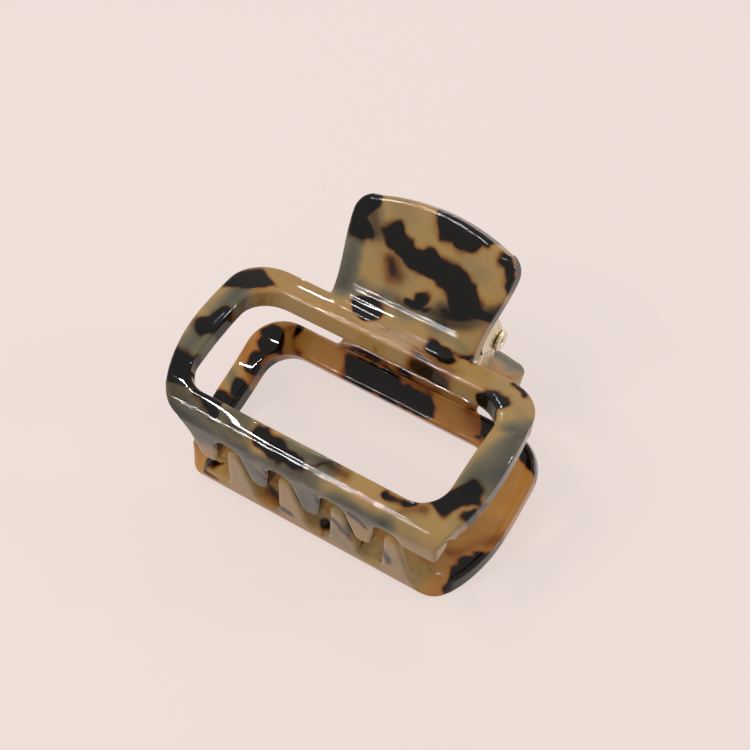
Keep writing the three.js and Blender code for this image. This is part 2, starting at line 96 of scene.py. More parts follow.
# ---- side view of a jaw, the same numbers as the CAD ----
SHEET = 4.5
FRAME_ROOT, RISE, FALL, ARCH, LENGTH = (-1.95, 9.78), 24.9, -10.74, 34.2, 35.8
TAB_ROOT, TAB_RISE, TAB_END, TAB_ARCH = (-0.37, 9.96), 43.1, 38.1, 18.8
BEND = 2.55
PITCH, FIRST_TOOTH, SLOT_TOP, SLOT_R = 11.2, -19.6, 8.9, 2.5
JAW_SHIFT = -0.45
ROUND = 0.8                      # tumbled arrises
GRID = 0.36


def sheet_point(root, way, a0, a1, length, s, d):
    a0, a1 = math.radians(a0), math.radians(a1)
    radius = length / (a0 - a1)
    t = min(max(s, 0), length)
    a = a0 - (a0 - a1) * t / length
    y = root[0] - way * radius * (math.sin(a) - math.sin(a0)) + way * (s - t) * math.cos(a)
    z = root[1] + radius * (math.cos(a) - math.cos(a0)) + (s - t) * math.sin(a)
    return y + way * d * math.sin(a), z - d * math.cos(a)


def frame_point(s, d):
    return sheet_point(FRAME_ROOT, -1, RISE, FALL, ARCH, s, d)


def tab_point(s, d):
    return sheet_point(TAB_ROOT, 1, TAB_RISE, TAB_END, TAB_ARCH, s, d)


FRONT_Y = frame_point(LENGTH, BEND)[0] - BEND
BACK_Y = FRONT_Y + SHEET


def sheet_coords(root, way, a0, a1, length, y, z):
    """Length along the outer face and depth below it, for points seen from the side."""
    a0, a1 = math.radians(a0), math.radians(a1)
    radius = length / (a0 - a1)
    cy, cz = root[0] + way * radius * math.sin(a0), root[1] - radius * math.cos(a0)
    dy, dz = -way * (y - cy), z - cz
    angle = np.arctan2(dy, dz)
    s, d = (a0 - angle) * radius, radius - np.hypot(dy, dz)
    for edge, a in ((0.0, a0), (length, a1)):
        py, pz = sheet_point(root, way, math.degrees(a0), math.degrees(a1), length, edge, 0)
        along = way * (y - py) * math.cos(a) + (z - pz) * math.sin(a)
        deep = way * (y - py) * math.sin(a) - (z - pz) * math.cos(a)
        outside = s < 0 if edge == 0 else s > length
        s, d = np.where(outside, edge + along, s), np.where(outside, deep, d)
    return s, d


def corner_inside():
    """The inner corner, where the frame's underside meets the back of the teeth."""
    s = ARCH
    for _ in range(40):
        s += (frame_point(s, SHEET)[0] - BACK_Y) * 0.9
    return s, frame_point(s, SHEET)[1]


CORNER_S, CORNER_Z = corner_inside()
FAN = 7.4                        # flat length that turns round the inner corner
VALLEY_S = CORNER_S + FAN + CORNER_Z


def s_of(z):
    """Length along the outer face of a point on the teeth, from its height."""
    return VALLEY_S - z


def flat_length(y, z, s):
    """Length along the outer face, carried round the bend and down the teeth."""
    fall = math.radians(FALL)
    angle = np.arctan2(-(y - BACK_Y), z - CORNER_Z)
    turned = (angle + fall) / (math.pi / 2 + fall)
    fanned = CORNER_S + FAN * np.clip(turned, 0, 1)
    front = y < BACK_Y + 0.01
    result = np.where(front & (turned > 0) & (s > ARCH - 3), fanned, s)
    return np.where((z < CORNER_Z) & (y < BACK_Y + 2.5), s_of(z), result)


def arc(cx, cy, rx, ry, a, b, n):
    t = np.radians(np.linspace(a, b, n))
    return [(cx + rx * math.cos(v), cy + ry * math.sin(v)) for v in t]


def bezier(points, n):
    """Points along a Bezier curve, without its first."""
    out = []
    for k in range(1, n + 1):
        level = [np.array(p, float) for p in points]
        while len(level) > 1:
            level = [a + (b - a) * (k / n) for a, b in zip(level, level[1:])]
        out.append(tuple(level[0]))
    return out


def jaw_outline(full, tip_z, tooth_half):
    """Flat pattern of frame and teeth, (x, length): back edge, corners, then the comb from +x to -x."""
    half, corner = 32.3, 8.5
    across, along, start = 11.1, 22.7, 18.2
    back = arc(half - corner, corner, corner, corner, -90, 0, 14)
    front = arc(half - across, start, across, along, 0, 72, 22)
    left = [(-x, s) for x, s in reversed(back + front)]
    right = back + front
    slot_top = [(half - across + 2.2, s_of(SLOT_TOP))]
    if full:
        bulge, shoulder, apron = 33.9, (31.5, 33), 30.0
        right = back + bezier([(half, corner), (bulge, 17), (bulge, 28), shoulder], 14)
        right += bezier([shoulder, (30.6, 37), (apron, 39.8)], 8)
        bottom, flank = s_of(6.0), FIRST_TOOTH + PITCH * 3.5 + SLOT_R
        slot_top = [(apron, bottom - 1.6)]
        slot_top += bezier([(apron, bottom - 1.6), (29.8, bottom), (28.0, bottom)], 6)
        slot_top += [(flank + 1, bottom), (flank, bottom - 0.6)]
    comb = []
    tip_corner = 1.5
    tip = s_of(tip_z)
    slot = s_of(SLOT_TOP - SLOT_R)
    for k in range(3, -1, -1):
        x = FIRST_TOOTH + PITCH * k
        if k == 3:
            comb += slot_top + arc(x + PITCH / 2, slot, SLOT_R, SLOT_R, 0 if full else -90, -180, 14)
        inner = tooth_half - tip_corner
        comb += arc(x + inner, tip - tip_corner, tip_corner, tip_corner, 0, 90, 7)
        comb += arc(x - inner, tip - tip_corner, tip_corner, tip_corner, 90, 180, 7)
        if k:
            comb += arc(x - PITCH / 2, slot, SLOT_R, SLOT_R, 0, -180, 14)
    comb += [(FIRST_TOOTH - PITCH / 2 + SLOT_R, slot), (FIRST_TOOTH - PITCH / 2 + SLOT_R - 0.4, slot - 1.2)]
    return right + comb + left


def window_side(half, front, end):
    """One side of a window: its half width, the radius of its front corner, and where it ends."""
    start, back = 6.2, 6.5
    side = arc(half - back, start + back, back, back, -90, 0, 12)
    return side + arc(half - front, end - front, front, front, 0, 90, 12)


def window_outline(broad):
    end = 29.5 if broad else 32.4
    left = window_side(24.7, 11.0, end) if broad else window_side(26.9, 5.0, end)
    return window_side(26.9, 5.8, end) + [(-x, s) for x, s in reversed(left)]


def tab_outline():
    """Flat pattern of a tab: flared sides, round corners and a bowed tip."""
    root, half, corner, centre = 15.4, 17.1, 4.2, 14.9
    tip_at, tip_radius, overlap = 21.1, 42.5, 2.4
    right = [(root, -overlap), (root, 0)]
    for k in range(1, 12):
        t = k / 12
        right.append((root + (half - root) * t * t * (3 - 2 * t), centre * t))
    lean = math.degrees(math.asin((half - corner + corner * 0.32) / tip_radius))
    right += arc(half - corner, centre, corner, corner, 0, 90 - lean, 9)
    right += arc(0, tip_at - tip_radius, tip_radius, tip_radius, 90 - lean, 90, 8)
    return right + [(-x, s) for x, s in reversed(right[:-1])]


class Flat:
    """Signed distance to a closed outline, sampled on a fine grid."""

    def __init__(self, outline, step=0.2, margin=5.0):
        a = np.array(outline, float)
        b = np.roll(a, -1, 0)
        self.low, self.step = a.min(0) - margin, step
        count = np.ceil((a.max(0) + margin - self.low) / step).astype(int) + 1
        gx = self.low[0] + step * np.arange(count[0])
        gy = self.low[1] + step * np.arange(count[1])
        x, y = np.meshgrid(gx, gy, indexing="ij")
        best, inside = np.full(x.shape, 1e9), np.zeros(x.shape, bool)
        for (ax, ay), (bx, by) in zip(a, b):
            ex, ey = bx - ax, by - ay
            t = np.clip(((x - ax) * ex + (y - ay) * ey) / max(ex * ex + ey * ey, 1e-12), 0, 1)
            best = np.minimum(best, (x - ax - t * ex) ** 2 + (y - ay - t * ey) ** 2)
            if ay != by:
                crosses = ((ay <= y) & (y < by)) | ((by <= y) & (y < ay))
                inside ^= crosses & (x < ax + (y - ay) * ex / ey)
        self.values = np.where(inside, -1, 1) * np.sqrt(best)

    def __call__(self, x, y):
        u = np.clip((x - self.low[0]) / self.step, 0, self.values.shape[0] - 1.001)
        v = np.clip((y - self.low[1]) / self.step, 0, self.values.shape[1] - 1.001)
        i, j = u.astype(int), v.astype(int)
        fu, fv = u - i, v - j
        g = self.values
        return ((g[i, j] * (1 - fu) + g[i + 1, j] * fu) * (1 - fv)
                + (g[i, j + 1] * (1 - fu) + g[i + 1, j + 1] * fu) * fv)


def meet(a, b, r):
    """Where both solids are, with the edge between them rounded."""
    return np.minimum(-r, np.maximum(a, b)) + np.hypot(np.maximum(a + r, 0), np.maximum(b + r, 0))


def join(a, b, r):
    """Either solid, with the corner between them filled to a radius."""
    return np.maximum(r, np.minimum(a, b)) - np.hypot(np.maximum(r - a, 0), np.maximum(r - b, 0))


TAB = Flat(tab_outline())
SHAPES = {"upper": (Flat(jaw_outline(True, -1.5, 1.9)), Flat(window_outline(False))),
          "lower": (Flat(jaw_outline(False, -6.3, 1.6)), Flat(window_outline(True)))}


def jaw_distance(p, shape):
    """Signed distance, in mm, to a jaw lying the way the upper one does, in the clip's own frame."""
    outline, window = shape
    x, y, z = p[..., 0] - JAW_SHIFT, p[..., 1], p[..., 2]
    s, d = sheet_coords(FRAME_ROOT, -1, RISE, FALL, ARCH, y, z)
    outer = meet(-d, FRONT_Y - y, BEND)
    hollow = meet(SHEET - d, BACK_Y - y, 0.9)
    side = np.maximum(outer, -hollow)
    flat_s = flat_length(y, z, s)
    flat = np.maximum(outline(x, flat_s), -window(x, s))
    body = meet(side, flat, ROUND)
    ts, td = sheet_coords(TAB_ROOT, 1, TAB_RISE, TAB_END, TAB_ARCH, y, z)
    tab = meet(np.maximum(-td, td - SHEET), TAB(x, ts), ROUND)
    middle = np.clip((14.5 - np.abs(x)) / 3, 0, 1)
    above = np.clip(1 - np.maximum(d, td) / 2, 0, 1)
    return join(body, tab, 1.6 + 2.8 * middle * above)


def surface_nets(distance, low, high, step):
    """Quads round a signed distance: one vertex in each cell that the surface crosses."""
    count = np.ceil((np.array(high) - low) / step).astype(int) + 1
    axes = [low[k] + step * np.arange(count[k]) for k in range(3)]
    value = np.empty(count)
    for i in range(count[0]):
        y, z = np.meshgrid(axes[1], axes[2], indexing="ij")
        value[i] = distance(np.stack([np.full_like(y, axes[0][i]), y, z], -1))
    inside = value < 0
    cells = tuple(c - 1 for c in count)
    total, weight = np.zeros(cells + (3,)), np.zeros(cells)
    corners = [(i, j, k) for i in (0, 1) for j in (0, 1) for k in (0, 1)]
    view = {c: tuple(slice(c[n], c[n] + cells[n]) for n in range(3)) for c in corners}
    for a in corners:
        for axis in range(3):
            if a[axis]:
                continue
            b = tuple(1 if n == axis else a[n] for n in range(3))
            va, vb = value[view[a]], value[view[b]]
            cross = inside[view[a]] != inside[view[b]]
            t = np.where(cross, va / np.where(cross, va - vb, 1), 0)
            at = [np.full(cells, float(v)) for v in a]
            at[axis] = t
            total += np.where(cross[..., None], np.stack(at, -1), 0)
            weight += cross
    used = weight > 0
    index = np.full(cells, -1)
    index[used] = np.arange(used.sum())
    base = np.stack(np.nonzero(used), -1)
    points = (base + total[used] / weight[used][:, None]) * step + low
    quads = []
    for axis in range(3):
        u, v = (axis + 1) % 3, (axis + 2) % 3
        first = tuple(slice(0 if n == axis else 1, cells[n] if n == axis else cells[n]) for n in range(3))
        a = inside[first]
        shift = [slice(None)] * 3
        moved = tuple(slice(f.start + 1, f.stop + 1) if n == axis else f for n, f in enumerate(first))
        b = inside[moved]
        i = np.stack(np.nonzero(a != b), -1)
        at = i + [f.start for f in first]
        ring = []
        for du, dv in ((-1, -1), (0, -1), (0, 0), (-1, 0)):
            q = at.copy()
            q[:, u] += du
            q[:, v] += dv
            ring.append(index[tuple(q.T)])
        ring = np.stack(ring, -1)
        flip = ~a[tuple(i.T)]
        ring[flip] = ring[flip][:, ::-1]
        quads.append(ring)
    return points, np.concatenate(quads)


def settle(points, distance, rounds=3):
    """Moves points onto the surface, along its slope."""
    h = 0.02
    for _ in range(rounds):
        slope = np.stack([
            (distance(points + e) - distance(points - e)) / (2 * h) for e in np.eye(3) * h
        ], -1)
        size = np.maximum((slope ** 2).sum(-1, keepdims=True), 0.25)
        points = points - np.clip(distance(points)[:, None] * slope / size, -0.3, 0.3)
    return points


def mesh_object(name, points, faces, smooth=True):
    mesh = bpy.data.meshes.new(name)
    mesh.from_pydata([tuple(p) for p in points], [], [tuple(int(i) for i in f) for f in faces])
    mesh.update()
    if smooth:
        mesh.polygons.foreach_set("use_smooth", [True] * len(mesh.polygons))
    obj = bpy.data.objects.new(name, mesh)
    bpy.context.scene.collection.objects.link(obj)
    return obj


# ---- dark and grey inclusions of the acetate, with painted shade and painted reflection among the soft strokes ----
# Each is a stroke in the flat pattern of a jaw: place, from (x, length) to (x, length), radius, in mm.
# These lists are a program's output, not chosen by hand: points and widths marked on the photo were solved to
# flat millimetres by a scratch program. Only the first three grey strokes of the upper jaw were given one by
# one.
UPPER_DARK = [
    ("tab", (-14.7, 17.1), (-15.1, 14.9), 2.0), ("tab", (-15.5, 14.3), (-14.2, 11.7), 2.4),
    ("tab", (-11.6, 10.7), (-9.5, 11.9), 0.7), ("tab", (-8.2, 14.0), (-7.3, 12.8), 2.2),
    ("tab", (-6.2, 12.5), (-3.2, 11.6), 1.8), ("tab", (-2.6, 11.0), (-0.6, 11.3), 1.9),
    ("tab", (1.0, 11.6), (3.8, 11.0), 2.4), ("tab", (4.4, 10.7), (8.2, 8.6), 3.0),
    ("tab", (8.7, 8.0), (10.3, 7.1), 2.9), ("tab", (11.4, 6.2), (14.4, 7.0), 1.3),
    ("tab", (0.3, 19.7), (2.1, 18.4), 2.2), ("tab", (2.7, 19.5), (5.8, 19.1), 2.7),
    ("tab", (4.4, 17.5), (5.4, 17.3), 1.6), ("tab", (6.3, 19.9), (9.9, 19.8), 1.3),
    ("tab", (-0.5, 21.1), (11.1, 20.4), 0.7), ("tab", (14.3, 17.2), (15.5, 16.6), 1.5),
    ("tab", (15.9, 16.4), (16.8, 14.0), 1.3), ("tab", (1.5, 4.8), (1.8, 3.7), 1.3),
    ("tab", (-0.4, 3.1), (3.9, 3.6), 1.0), ("frame", (-8.5, -0.0), (-6.1, 0.7), 2.2),
    ("frame", (-1.6, 3.8), (-0.7, 3.1), 0.6), ("frame", (-2.7, 7.7), (-1.5, 7.8), 0.7),
    ("frame", (8.3, 2.1), (10.9, 2.8), 2.2), ("frame", (10.3, 1.1), (15.8, 0.1), 1.1),
    ("frame", (22.2, 6.7), (24.2, 7.0), 1.8), ("frame", (23.4, 4.4), (23.9, 2.7), 0.3),
    ("frame", (23.9, 1.3), (28.1, 2.7), 1.0), ("frame", (-31.0, 9.0), (-28.0, 6.0), 2.2),
    ("frame", (-28.3, 5.5), (-26.6, 4.1), 0.7), ("frame", (-29.8, 20.8), (-28.0, 17.6), 2.2),
    ("frame", (-29.1, 30.9), (-25.4, 29.9), 3.1), ("frame", (-26.1, 27.1), (-24.6, 27.4), 1.3),
    ("frame", (-22.7, 32.5), (-19.1, 33.4), 1.8), ("frame", (-24.0, 34.0), (-18.2, 35.3), 1.1),
    ("frame", (-7.3, 34.8), (-4.4, 35.3), 2.0), ("frame", (-3.5, 36.1), (-0.2, 36.0), 1.7),
    ("frame", (2.8, 36.1), (6.6, 32.9), 0.8), ("frame", (17.8, 33.8), (22.3, 33.2), 1.2),
    ("frame", (27.1, 29.8), (30.5, 26.2), 2.0), ("frame", (31.6, 30.8), (33.0, 29.1), 1.3),
    ("frame", (-16.2, 43.9), (-16.5, 47.7), 1.1), ("frame", (-4.7, 41.9), (-5.0, 49.4), 1.1),
    ("frame", (6.1, 43.8), (6.5, 47.5), 1.1), ("frame", (-7.1, 45.8), (-6.3, 49.0), 1.1),
    ("frame", (12.5, 42.9), (14.0, 44.6), 1.1), ("frame", (-8.9, 40.8), (0.9, 41.0), 0.9),
]
# Grey strokes: the acetate's smoky grey, and painted reflection. The grey on the front bend, the teeth and
# the outer edges of the bars stands for the veil that grazing light reflects there. The grey band along the
# fold is painted shade in the crease.
UPPER_GREY_AND_REFLECTION = [
    ("frame", (-28, 38), (-15, 42.5), 3.6),
    ("frame", (-9, 43), (-9, 51), 3.0), ("frame", (2, 43), (2, 51), 3.0),
    ("tab", (6.1, 3.6), (16.8, 7.3), 1.8), ("frame", (-11.6, -1.4), (13.9, -1.7), 1.1),
    ("tab", (-16.9, 10.1), (-14.0, 0.3), 2.5), ("tab", (-13.4, 0.4), (-5.0, 1.5), 2.0),
    ("tab", (-13.3, 15.7), (-11.5, 12.4), 1.8), ("tab", (-2.8, 1.6), (6.6, 2.2), 1.8),
    ("frame", (-28.1, 11.8), (-28.6, 16.8), 2.7), ("frame", (-28.8, 21.7), (-28.6, 27.0), 3.1),
    ("frame", (-29.8, 25.3), (-27.9, 34.1), 2.7), ("frame", (-26.2, 34.7), (-18.8, 36.5), 3.1),
    ("frame", (-19.4, 35.5), (-13.1, 35.2), 2.2), ("frame", (-3.0, 35.0), (5.1, 33.7), 2.2),
    ("frame", (-14.6, 35.6), (-10.4, 34.7), 1.3), ("frame", (-24.2, 37.1), (-15.7, 38.7), 2.0),
    ("frame", (31.5, 11.9), (31.2, 23.3), 2.9), ("frame", (28.5, 10.7), (32.1, 9.9), 2.0),
    ("frame", (-20.4, 43.5), (-10.7, 39.2), 3.1), ("frame", (-11.9, 41.1), (2.0, 39.1), 3.1),
    ("frame", (1.6, 42.8), (18.1, 39.3), 2.9),
]
LOWER_DARK = [
    ("frame", (27.7, 5.3), (26.4, 6.5), 2.5), ("frame", (27.1, 10.0), (27.6, 13.3), 1.7),
    ("frame", (22.8, 1.5), (20.8, 5.4), 1.0), ("frame", (25.9, 2.4), (23.2, 1.5), 0.5),
    ("frame", (8.3, 2.8), (1.7, 3.1), 2.9), ("frame", (0.5, 3.7), (-6.9, 3.3), 2.5),
    ("frame", (5.9, 3.9), (-6.6, 4.4), 1.8), ("frame", (-19.5, -0.0), (-21.4, 3.6), 1.9),
    ("frame", (-18.5, 5.1), (-21.4, 5.0), 0.9), ("frame", (-28.8, 2.4), (-31.6, 4.6), 1.9),
    ("frame", (-30.0, 32.0), (-31.0, 29.2), 2.2), ("frame", (-31.5, 27.0), (-33.0, 23.3), 1.2),
    ("frame", (-30.4, 34.0), (-30.9, 33.0), 1.8), ("frame", (29.8, 21.7), (25.6, 21.4), 1.8),
    ("frame", (28.3, 18.7), (24.8, 18.8), 1.6), ("frame", (23.8, 41.6), (20.6, 41.4), 1.0),
    ("frame", (5.3, 44.9), (3.1, 44.6), 1.2), ("frame", (-8.5, 53.5), (-9.6, 47.8), 1.0),
    ("frame", (-17.7, 52.8), (-18.5, 47.2), 1.0), ("frame", (9.8, 39.4), (-5.9, 42.0), 0.5),
    ("frame", (-12.7, 44.2), (-21.7, 44.6), 0.5), ("frame", (-22.6, 60.3), (-23.2, 60.2), 0.4),
]
# Soft brown strokes: brown patches of the acetate, and painted shade. Those along the tab's root and on the
# back bar beside it darken the fold where shade falls.
UPPER_BROWN_AND_SHADE = [
    ("tab", (-6.2, 8.7), (-4.6, 6.5), 2.0), ("tab", (-14.2, 9.6), (-8.9, 11.5), 1.3),
    ("tab", (-13.1, 15.3), (-11.3, 12.1), 1.6), ("tab", (6.0, 3.8), (16.6, 7.8), 1.8),
    ("tab", (5.0, 1.1), (13.9, 5.1), 1.1), ("tab", (-2.8, 2.0), (6.4, 2.9), 1.3),
    ("frame", (-27.8, 34.9), (-22.7, 33.1), 1.3), ("frame", (5.7, 33.4), (9.5, 33.5), 1.6),
    ("frame", (-14.6, 35.6), (-9.9, 34.8), 1.3), ("frame", (6.8, 4.5), (13.3, 4.8), 2.0),
    ("frame", (20.1, 34.2), (23.8, 33.6), 1.1), ("frame", (-3.4, 1.9), (6.2, 2.0), 0.8),
]
# Soft brown strokes of the lower jaw: brown patches, and painted shade on the back bar, which lies under the
# upper jaw and the hinge.
LOWER_BROWN_AND_SHADE = [
    ("frame", (12.2, -0.3), (4.9, -2.2), 2.0), ("frame", (0.3, -0.4), (-7.1, 0.9), 2.0),
    ("frame", (-15.4, 0.7), (-19.9, 4.4), 1.6), ("frame", (-27.0, 28.1), (-33.2, 21.2), 1.6),
    ("frame", (31.4, 9.2), (27.3, 13.9), 1.3), ("frame", (10.2, 42.4), (5.2, 42.4), 1.3),
]
# Grey strokes of the lower jaw: smoky grey, and painted reflection of grazing light on the right bar's outer
# edge and on the teeth.
LOWER_GREY_AND_REFLECTION = [
    ("tab", (-10.8, 16.6), (-15.0, 15.6), 2.7), ("tab", (-10.6, 20.8), (-15.6, 11.9), 2.2),
    ("frame", (31.6, 16.3), (25.1, 20.0), 2.2), ("frame", (-11.3, 52.3), (-17.6, 51.4), 1.6),
    ("frame", (26.4, 0.9), (16.7, -1.0), 0.9),
]


NOISE_SEED = 13                  # unless it is set, Blender's noise takes its seed from the clock


def wobble(points, scale, amount, seed):
    noise.seed_set(NOISE_SEED)
    out = np.empty_like(points)
    shift = Vector((seed, seed * 0.7, -seed))
    for i, p in enumerate(points):
        out[i] = noise.noise_vector(Vector(p) / scale + shift)
    return points + out * amount


def field_of(flat, strokes, fade):
    """1 on a stroke's middle line, 0.5 at its edge; fade stretches the way down to 0."""
    field = np.zeros(len(flat["frame"]))
    for kind, a, b, radius in strokes:
        p = flat[kind]
        a, b = np.array([*a, 1.0]), np.array([*b, 1.0])
        e = b - a
        t = np.clip(((p - a) @ e) / max(e @ e, 1e-9), 0, 1)
        gap = np.linalg.norm(p - a - t[:, None] * e, axis=1)
        field = np.maximum(field, np.clip(0.5 + 0.5 * (radius - gap) / (fade + 0.3 * radius), 0, 1))
    return field


def flat_points(points):
    """The points in the flat pattern, (x, length, depth), once as part of the frame and once of the tab."""
    x, y, z = points.T
    s, d = sheet_coords(FRAME_ROOT, -1, RISE, FALL, ARCH, y, z)
    front = y < FRONT_Y + 3
    d = np.where(front & (s > LENGTH), np.minimum(d, y - FRONT_Y), d)
    ts, td = sheet_coords(TAB_ROOT, 1, TAB_RISE, TAB_END, TAB_ARCH, y, z)
    # The same depth holds for the painted shade and painted reflection in the strokes.
    thin = 0.45                  # the inclusions run most of the way through the sheet
    return {
        "frame": np.stack([x, flat_length(y, z, s), d * thin], -1),
        "tab": np.stack([x, ts, td * thin], -1),
    }


def jaw(name, turned, shape, dark_strokes, brown_and_shade_strokes, grey_and_reflection_strokes, warm, seed):
    def distance(p):
        return jaw_distance(p, shape)

    low, high = np.array([-34.0, -40.6, -7.2]), np.array([34.2, 19.0, 25.6])
    points, quads = surface_nets(distance, low, high, GRID)
    points = settle(points, distance)
    moved = wobble(wobble(points, 5.0, 1.4, seed), 2.0, 0.8, seed + 5)
    # Warped points for the soft brown and grey fields, which hold painted shade and painted reflection as
    # well as the acetate's patches.
    soft_flat = flat_points(wobble(points, 7.0, 2.4, seed + 9))
    dark = field_of(flat_points(moved), dark_strokes, 0.5)
    dark = np.maximum(dark, 0.48 * np.clip(1.6 * field_of(soft_flat, brown_and_shade_strokes, 1.5) - 0.3, 0, 1))
    grey = np.clip(field_of(soft_flat, grey_and_reflection_strokes, 1.6) * 1.25 - 0.25, 0, 1)
    length = flat_points(points)["frame"][:, 1]
    base = warm + (0.5 - warm) * np.clip((length - 38.5) / 4, 0, 1)    # the teeth are plain tan
    tone = np.clip(base + (1 - base) * grey, 0, 1)
    if turned:
        points = points * np.array([-1, 1, -1])
    obj = mesh_object(name, to_row(points), quads)
    # The dark attribute carries the pattern and painted shade; the tone attribute carries the base colour and
    # painted reflection.
    for attribute, values in (("dark", dark), ("tone", tone)):
        layer = obj.data.attributes.new(attribute, "FLOAT", "POINT")
        layer.data.foreach_set("value", values.astype(np.float32))
    return obj


# ---- materials ----
def material(name):
    m = bpy.data.materials.new(name)
    m.use_nodes = True
    nodes = m.node_tree.nodes
    return m, nodes, m.node_tree.links, nodes["Principled BSDF"]


def ramp(nodes, stops, interpolation="LINEAR"):
    node = nodes.new("ShaderNodeValToRGB")
    node.color_ramp.interpolation = interpolation
    while len(node.color_ramp.elements) < len(stops):
        node.color_ramp.elements.new(0.5)
    for element, (at, colour) in zip(node.color_ramp.elements, stops):
        element.position = at
        element.color = (*colour, 1)
    return node


def noise_node(nodes, links, coords, scale, detail=3.0, roughness=0.5):
    node = nodes.new("ShaderNodeTexNoise")
    node.inputs["Scale"].default_value = scale
    node.inputs["Detail"].default_value = detail
    node.inputs["Roughness"].default_value = roughness
    links.new(coords, node.inputs["Vector"])
    return node


def math_node(nodes, links, operation, a, b):
    node = nodes.new("ShaderNodeMath")
    node.operation = operation
    for socket, value in zip(node.inputs, (a, b)):
        if isinstance(value, (int, float)):
            socket.default_value = value
        else:
            links.new(value, socket)
    return node.outputs[0]


def attribute_node(nodes, name):
    node = nodes.new("ShaderNodeAttribute")
    node.attribute_name = name
    return node.outputs["Fac"]


def blend_colour(nodes, links, mode, factor, a, b):
    mix = nodes.new("ShaderNodeMix")
    mix.data_type = "RGBA"
    mix.blend_type = mode
    for socket, value in (("Factor", factor), ("A", a), ("B", b)):
        if isinstance(value, (int, float)):
            mix.inputs[socket].default_value = value
        else:
            links.new(value, mix.inputs[socket])
    return mix.outputs["Result"]


def acetate():
    m, nodes, links, shader = material("acetate")
    coords = nodes.new("ShaderNodeTexCoord").outputs["Object"]
    broad = noise_node(nodes, links, coords, 95, 3.0).outputs["Fac"]
    fine = noise_node(nodes, links, coords, 620, 4.0, 0.6).outputs["Fac"]
    # from orange amber through tan to grey; the grey end also shows the painted reflection of the grey
    # strokes
    drift = math_node(nodes, links, "MULTIPLY", math_node(nodes, links, "SUBTRACT", broad, 0.5), 0.55)
    tone = math_node(nodes, links, "ADD", attribute_node(nodes, "tone"), drift)
    body = ramp(nodes, [(0.0, (0.21, 0.084, 0.014)), (0.25, (0.275, 0.128, 0.031)),
                        (0.5, (0.225, 0.142, 0.052)), (0.72, (0.095, 0.080, 0.049)),
                        (1.0, (0.034, 0.034, 0.028))])
    links.new(tone, body.inputs["Fac"])
    edge = math_node(nodes, links, "MULTIPLY", math_node(nodes, links, "SUBTRACT", fine, 0.5), 0.18)
    field = math_node(nodes, links, "ADD", attribute_node(nodes, "dark"), edge)
    # The dark field also holds the painted shade of the soft brown strokes.
    stain_and_shade = ramp(nodes, [(0.0, (1, 1, 1)), (0.20, (0.90, 0.80, 0.66)), (0.37, (0.52, 0.30, 0.17)),
                         (0.45, (0.12, 0.060, 0.045)), (0.52, (0.012, 0.012, 0.017))])
    links.new(field, stain_and_shade.inputs["Fac"])
    colour = blend_colour(nodes, links, "MULTIPLY", 1.0, body.outputs["Color"], stain_and_shade.outputs["Color"])
    links.new(colour, shader.inputs["Base Color"])
    gloss = ramp(nodes, [(0.2, (0.010,) * 3), (0.8, (0.024,) * 3)])
    links.new(fine, gloss.inputs["Fac"])
    links.new(gloss.outputs["Color"], shader.inputs["Roughness"])
    shader.inputs["IOR"].default_value = 1.49
    shader.inputs["Specular IOR Level"].default_value = 0.26
    shader.inputs["Subsurface Weight"].default_value = 0.2
    shader.inputs["Subsurface Radius"].default_value = (1.0, 0.55, 0.25)
    shader.inputs["Subsurface Scale"].default_value = 0.0015
    bump = nodes.new("ShaderNodeBump")
    bump.inputs["Strength"].default_value = 0.03
    bump.inputs["Distance"].default_value = 0.0002
    links.new(broad, bump.inputs["Height"])
    links.new(bump.outputs["Normal"], shader.inputs["Normal"])
    return m


def metal(name, colour, dull, scale):
    m, nodes, links, shader = material(name)
    coords = nodes.new("ShaderNodeTexCoord").outputs["Object"]
    grain = noise_node(nodes, links, coords, scale, 4.0, 0.65)
    tint = ramp(nodes, [(0.3, tuple(0.86 * c for c in colour)), (0.7, colour)])
    links.new(grain.outputs["Fac"], tint.inputs["Fac"])
    links.new(tint.outputs["Color"], shader.inputs["Base Color"])
    gloss = ramp(nodes, [(0.25, (dull * 0.7,) * 3), (0.75, (dull * 1.4,) * 3)])
    links.new(grain.outputs["Fac"], gloss.inputs["Fac"])
    links.new(gloss.outputs["Color"], shader.inputs["Roughness"])
    shader.inputs["Metallic"].default_value = 1.0
    bump = nodes.new("ShaderNodeBump")
    bump.inputs["Strength"].default_value = 0.15
    bump.inputs["Distance"].default_value = 0.00005
    links.new(grain.outputs["Fac"], bump.inputs["Height"])
    links.new(bump.outputs["Normal"], shader.inputs["Normal"])
    return m


ACETATE = acetate()
GOLD = metal("pale_gold", (0.80, 0.70, 0.50), 0.22, 900)
STEEL = metal("spring_steel", (0.62, 0.61, 0.58), 0.25, 1400)


def dress(obj, finish_material):
    obj.data.materials.clear()
    obj.data.materials.append(finish_material)
    return obj


JAWS = (
    ("upper", False, UPPER_DARK, UPPER_BROWN_AND_SHADE, UPPER_GREY_AND_REFLECTION, 0.46, 3.1),
    ("lower", True, LOWER_DARK, LOWER_BROWN_AND_SHADE, LOWER_GREY_AND_REFLECTION, 0.14, 11.7),
)
for side, turned, dark_strokes, brown_and_shade_strokes, grey_and_reflection_strokes, warm, seed in JAWS:
    shell = jaw(f"{side}_jaw_body", turned, SHAPES[side],
                dark_strokes, brown_and_shade_strokes, grey_and_reflection_strokes, warm, seed)
    dress(shell, ACETATE)
    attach(shell, f"{side}_half")
    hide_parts(f"{side}_jaw")


